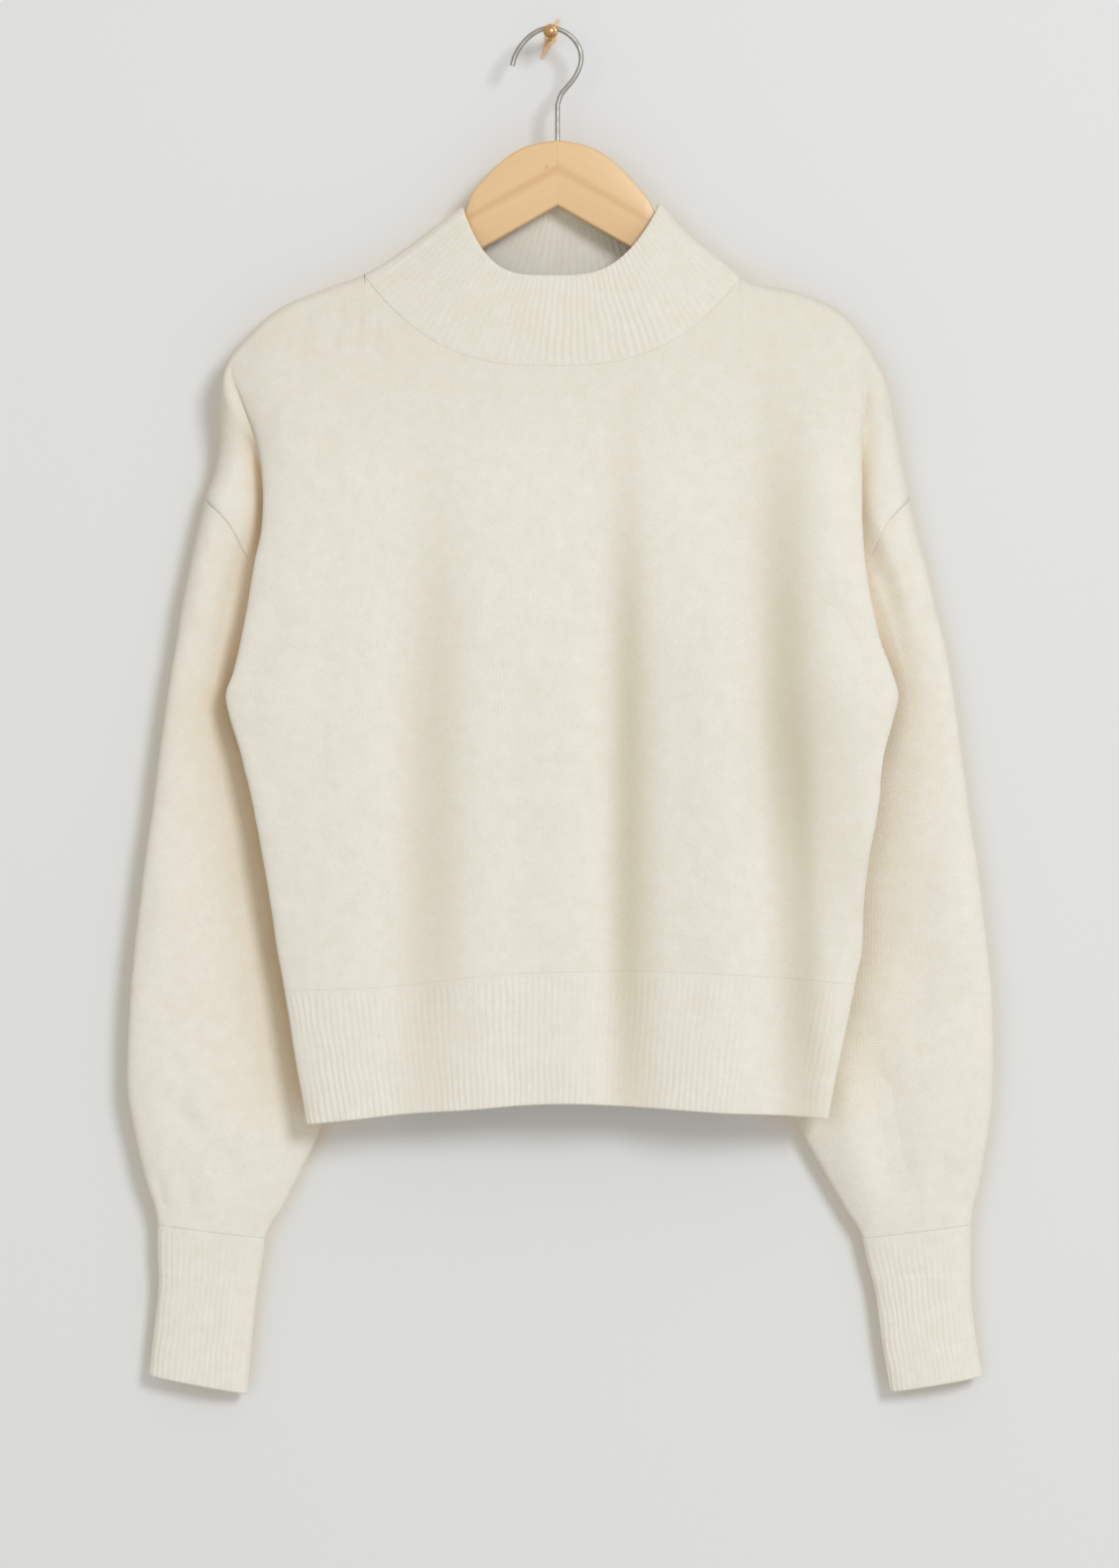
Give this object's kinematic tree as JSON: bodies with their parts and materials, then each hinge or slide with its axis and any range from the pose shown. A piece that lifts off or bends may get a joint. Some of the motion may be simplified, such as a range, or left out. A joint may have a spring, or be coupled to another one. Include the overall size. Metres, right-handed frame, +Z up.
{
  "type": "mock neck sweater on a wooden hanger",
  "caption": "Knitted mock neck sweater with drop shoulders, full sleeves and ribbed neck, hem and cuffs, hung on a flat wooden hanger from a small wall hook.",
  "frame": {"origin": "where the wall hook's plate meets the wall", "axes": "+Y into the wall, +Z up, so the front of the sweater faces -Y"},
  "size_m": [0.5514, 0.0617, 0.8784],
  "materials": {
    "cream_wool": "brushed knit, matt and slightly fuzzy",
    "pale_wood": "clear satin lacquer",
    "steel_wire": "drawn and polished wire",
    "brass": "satin"
  },
  "bodies": {
    "root": {"front_panel": "cream_wool", "back_panel": "cream_wool", "left_sleeve": "cream_wool", "right_sleeve": "cream_wool", "collar": "cream_wool", "front_hem_rib": "cream_wool", "back_hem_rib": "cream_wool", "left_cuff": "cream_wool", "right_cuff": "cream_wool", "hanger_left_arm": "pale_wood", "hanger_right_arm": "pale_wood", "hanger_hook": "steel_wire", "wall_hook_plate": "brass", "wall_hook_peg": "brass"}
  },
  "joints": []
}
